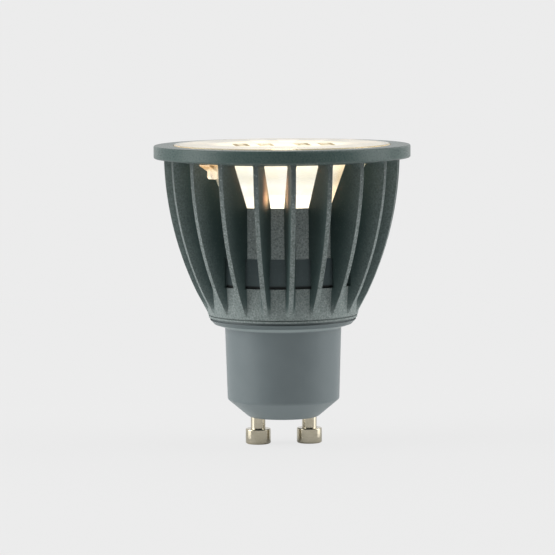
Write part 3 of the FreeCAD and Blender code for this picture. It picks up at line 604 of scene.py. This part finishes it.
def seen_directly(tree, in_gloss):
    """One for rays of the camera and of glass, and of gloss if asked, and nought for others."""
    path = add(tree, "ShaderNodeLightPath").outputs
    seen = maths(tree, "ADD", path["Is Camera Ray"], path["Is Transmission Ray"], clamp=True)
    if in_gloss:
        seen = maths(tree, "ADD", seen, path["Is Glossy Ray"], clamp=True)
    return seen


def make_air():
    """Even light from all round, seen as the pale paper behind the lamp."""
    world = bpy.data.worlds.new("studio_air")
    world.use_nodes = True
    tree = world.node_tree
    light = tree.nodes["Background"]
    light.inputs["Color"].default_value = (1.0, 1.0, 1.0, 1.0)
    light.inputs["Strength"].default_value = air_strength
    paper = add(tree, "ShaderNodeBackground")
    paper.inputs["Color"].default_value = paper_white
    mix = add(tree, "ShaderNodeMixShader")
    joined(tree, [
        (seen_directly(tree, in_gloss=True), mix.inputs["Fac"]),
        (light.outputs[0], mix.inputs[1]),
        (paper.outputs[0], mix.inputs[2]),
        (mix.outputs[0], tree.nodes["World Output"].inputs["Surface"])])
    bpy.context.scene.world = world


def paper_share(tree):
    """How far the floor shows as plain paper: mostly in direct view, and wholly away from the lamp."""
    place = add(tree, "ShaderNodeTexCoord")
    away = add(tree, "ShaderNodeVectorMath", operation="LENGTH")
    tree.links.new(place.outputs["Object"], away.inputs[0])
    clear = ramp(tree, away.outputs["Value"], shadow_near, shadow_far, floor_glow_near, 1.0, soft=True)
    seen = times(tree, seen_directly(tree, in_gloss=False), clear)
    path = add(tree, "ShaderNodeLightPath")
    unseen = value_between(tree, path.outputs["Is Glossy Ray"], floor_glow_share, floor_gloss_share)
    return maths(tree, "MAXIMUM", seen, unseen)


def pale_floor():
    """Pale paper with the lamp's soft shadow, clear from below."""
    made, tree, shader = new_material("pale_paper", 0.8)
    shader.inputs["Base Color"].default_value = (0.8, 0.8, 0.8, 1.0)
    shader.inputs["Specular IOR Level"].default_value = 0.0
    glow = add(tree, "ShaderNodeEmission")
    glow.inputs["Color"].default_value = paper_white
    paper = add(tree, "ShaderNodeMixShader")
    geometry = add(tree, "ShaderNodeNewGeometry")
    clear = add(tree, "ShaderNodeBsdfTransparent")
    one_sided = add(tree, "ShaderNodeMixShader")
    joined(tree, [
        (paper_share(tree), paper.inputs["Fac"]),
        (shader.outputs[0], paper.inputs[1]),
        (glow.outputs[0], paper.inputs[2]),
        (geometry.outputs["Backfacing"], one_sided.inputs["Fac"]),
        (paper.outputs[0], one_sided.inputs[1]),
        (clear.outputs[0], one_sided.inputs[2]),
        (one_sided.outputs[0], tree.nodes["Material Output"].inputs["Surface"])])
    return made


def flat_sheet(name, corners, material):
    """Flat sheet through four corners."""
    mesh = bpy.data.meshes.new(name)
    mesh.from_pydata(corners, [], [(0, 1, 2, 3)])
    mesh.materials.append(material)
    sheet = bpy.data.objects.new(name, mesh)
    bpy.context.scene.collection.objects.link(sheet)
    return sheet


def lay_floor():
    """Wide floor under the pin tips."""
    reach = floor_reach
    corners = [(-reach, -reach, 0), (reach, -reach, 0), (reach, reach, 0), (-reach, reach, 0)]
    floor = flat_sheet("floor", corners, pale_floor())


def stand_card():
    """Dark card behind the camera, which the camera itself doesn't see."""
    made, tree, shader = new_material("dark_card", 0.9)
    shader.inputs["Base Color"].default_value = (0.03, 0.03, 0.03, 1.0)
    left, right = -card_half_width, card_half_width
    corners = [(left, card_distance, 0), (right, card_distance, 0)]
    corners += [(right, card_distance, card_height), (left, card_distance, card_height)]
    card = flat_sheet("dark_card", corners, made)
    card.visible_camera = False


def hang_lamp(name, place, target, width, height, power):
    """Soft rectangular lamp aimed at a point."""
    light = bpy.data.lights.new(name, "AREA")
    light.shape = "RECTANGLE"
    light.size = width
    light.size_y = height
    light.energy = power
    lamp = bpy.data.objects.new(name, light)
    lamp.location = place
    lamp.rotation_mode = "QUATERNION"
    lamp.rotation_quaternion = (Vector(target) - Vector(place)).to_track_quat("-Z", "Y")
    bpy.context.scene.collection.objects.link(lamp)
    return lamp


def on_ring(angle, radius, height):
    """Place at an angle from the front, a radius from the axis and a height."""
    return Vector((radius * math.sin(angle), -radius * math.cos(angle), height))


def hang_glow(name, angle, height, length, power):
    """Thin warm strip in the middle gap, close to the lens, that shines on the fin at an angle."""
    middle, fin = on_ring(gap_angle, glow_radius, height), on_ring(angle, glow_radius, height)
    strip = hang_lamp(name, middle, fin, glow_width, length, power)
    strip.data.color = glow_colour
    strip.data.spread = glow_spread
    strip.visible_camera = False


def hang_pin_lamp(name, side):
    """Small pale lamp low beside the contact pins, for the bright line down their outer sides."""
    depth, height = pin_lamp_place
    place, target = (side * pin_lamp_distance, depth, height), (0.0, depth, height)
    lamp = hang_lamp(name, place, target, *pin_lamp_size, pin_lamp_power)
    lamp.data.spread = pin_lamp_spread
    lamp.visible_camera = False


def hang_side_lamp(name, side, power):
    """Tall soft lamp beside the bulb, just in front of it."""
    depth, height = side_lamp_place
    place = (side * side_lamp_distance, depth, height)
    hang_lamp(name, place, side_lamp_target, *side_lamp_size, power)


def light_studio():
    """Soft lamps on both sides, a dark card behind the camera, and small lamps at the gap and pins."""
    hang_side_lamp("left_lamp", -1, left_lamp_power)
    hang_side_lamp("right_lamp", 1, right_lamp_power)
    stand_card()
    for name, angle in (("glow_right", 0.0), ("glow_left", 2 * gap_angle)):
        hang_glow(name, angle, glow_height, glow_length, glow_power)
        hang_glow(name + "_low", angle, low_glow_height, low_glow_length, glow_power / 2)
    hang_pin_lamp("pin_lamp_left", -1)
    hang_pin_lamp("pin_lamp_right", 1)


def stand_camera():
    """Camera at the photograph's place, height and roll."""
    lens = bpy.data.cameras.new("camera")
    lens.lens = focal_length
    lens.sensor_width = 36.0
    lens.shift_x = frame_shift
    lens.clip_start = 0.01
    lens.clip_end = 100.0
    camera = bpy.data.objects.new("camera", lens)
    back = Vector((
        math.sin(view_azimuth) * math.cos(view_pitch),
        -math.cos(view_azimuth) * math.cos(view_pitch),
        math.sin(view_pitch)))
    camera.location = Vector((0, 0, aim_height)) + back * view_distance
    camera.rotation_mode = "QUATERNION"
    camera.rotation_quaternion = (-back).to_track_quat("-Z", "Y") @ Quaternion((0, 0, 1), view_roll)
    bpy.context.scene.collection.objects.link(camera)
    bpy.context.scene.camera = camera


finishes = slot_materials()
dress_nodes(finishes)
make_air()
lay_floor()
light_studio()
stand_camera()
bpy.context.scene.view_settings.view_transform = "Standard"
